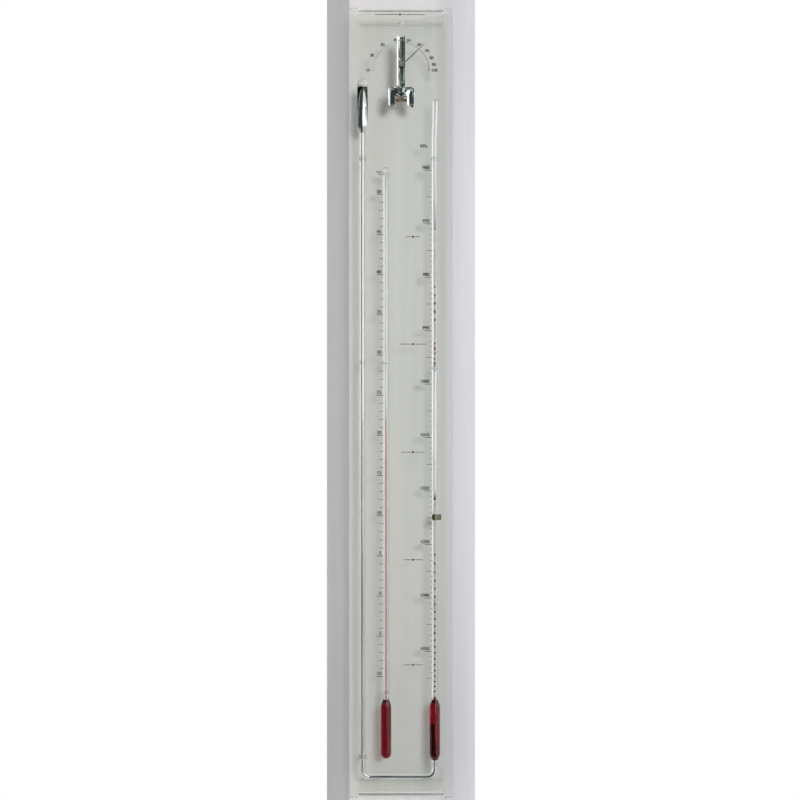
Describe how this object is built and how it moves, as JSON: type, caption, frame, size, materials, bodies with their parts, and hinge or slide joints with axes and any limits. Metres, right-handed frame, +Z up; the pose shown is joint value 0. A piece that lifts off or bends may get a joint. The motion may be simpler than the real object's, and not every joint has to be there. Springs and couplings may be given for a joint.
{
  "type": "wall barometer",
  "caption": "Wall barometer: a folded liquid-filled glass tube, a spirit thermometer and a hair hygrometer on a clear plate with bent-back flanges.",
  "frame": {"origin": "centre of the hanging hole, in the middle of the plate's thickness", "axes": "+Z up along the plate, -Y out of the front towards the reader, +Y towards the wall, +X to the reader's right"},
  "size_m": [0.13, 0.0745, 1],
  "materials": {
    "clear_acrylic": "clear polished acrylic with a pale green tint at its edges",
    "clear_glass": "drawn laboratory glass, fire polished",
    "mercury": "liquid mercury",
    "dark_red_liquid": "dark red dyed liquid seen in bulk",
    "pale_red_liquid": "thin film of the red dyed liquid on the wall of the bore",
    "tie_wire": "thin soft wire, dulled",
    "dull_brass": "plated spring brass, dulled to olive grey",
    "chromed_brass": "bright chrome plating, slightly rippled",
    "plated_steel": "zinc plated steel",
    "bright_brass": "turned brass",
    "black_aluminium": "aluminium painted black",
    "hair": "bundle of degreased hairs",
    "aged_copper": "brown toned copper alloy",
    "black_steel": "blackened steel"
  },
  "bodies": {
    "root": {"backplate": "clear_acrylic", "barometer_tube": "clear_glass", "mercury_fill": "mercury", "red_liquid": "dark_red_liquid", "pale_thread": "pale_red_liquid", "thread_droplets": "dark_red_liquid", "thermometer_tube": "clear_glass", "thermometer_spirit": "dark_red_liquid", "long_limb_saddles": "clear_acrylic", "scale_limb_saddles": "clear_acrylic", "thermometer_saddles": "clear_acrylic", "long_limb_ties": "tie_wire", "scale_limb_ties": "tie_wire", "thermometer_ties": "tie_wire", "hygrometer_column": "chromed_brass", "hygrometer_fork": "chromed_brass", "standoff_posts": "chromed_brass", "yoke_screw": "chromed_brass", "column_screw": "chromed_brass", "post_back_screws": "plated_steel", "post_washers": "plated_steel", "bearing_bridge": "bright_brass", "rear_bush": "bright_brass", "hair_bundle": "hair", "upper_ferrule": "bright_brass", "tension_spring": "plated_steel", "spring_anchor": "chromed_brass", "lever_pivot_screw": "chromed_brass", "lever_pivot_nut": "plated_steel", "stop_block": "chromed_brass", "block_rivet": "chromed_brass"},
    "index": {"index_clip": "dull_brass"},
    "pointer": {"pointer_spindle": "plated_steel", "hair_drum": "bright_brass", "pointer_hub": "bright_brass", "pointer_needle": "black_aluminium", "counterweight": "bright_brass"},
    "lever": {"adjusting_lever": "aged_copper", "lower_ferrule": "bright_brass"},
    "adjuster": {"adjusting_screw": "black_steel"}
  },
  "joints": [
    {"name": "index_slide", "type": "slide", "parent": "root", "child": "index", "axis": [0, 0, 1], "range_m": [-0.222, 0.1805]},
    {"name": "pointer_swing", "type": "hinge", "parent": "root", "child": "pointer", "pos_m": [0, -0.018, -0.058], "axis": [0, 1, 0], "range_deg": [-136.5, 43.5], "stiffness_Nm_per_rad": 0.00007},
    {"name": "adjuster_turn", "type": "hinge", "parent": "root", "child": "adjuster", "pos_m": [0.014, -0.01275, -0.0983], "axis": [0, 0, 1], "range_deg": [-360, 360]},
    {"name": "lever_tilt", "type": "hinge", "parent": "root", "child": "lever", "pos_m": [-0.0119, -0.0125, -0.1045], "axis": [0, 1, 0], "range_deg": [-0.9, 0.9]}
  ],
  "couplings": [
    {"joint": "lever_tilt", "follows": "adjuster_turn", "ratio": 0.002458}
  ]
}
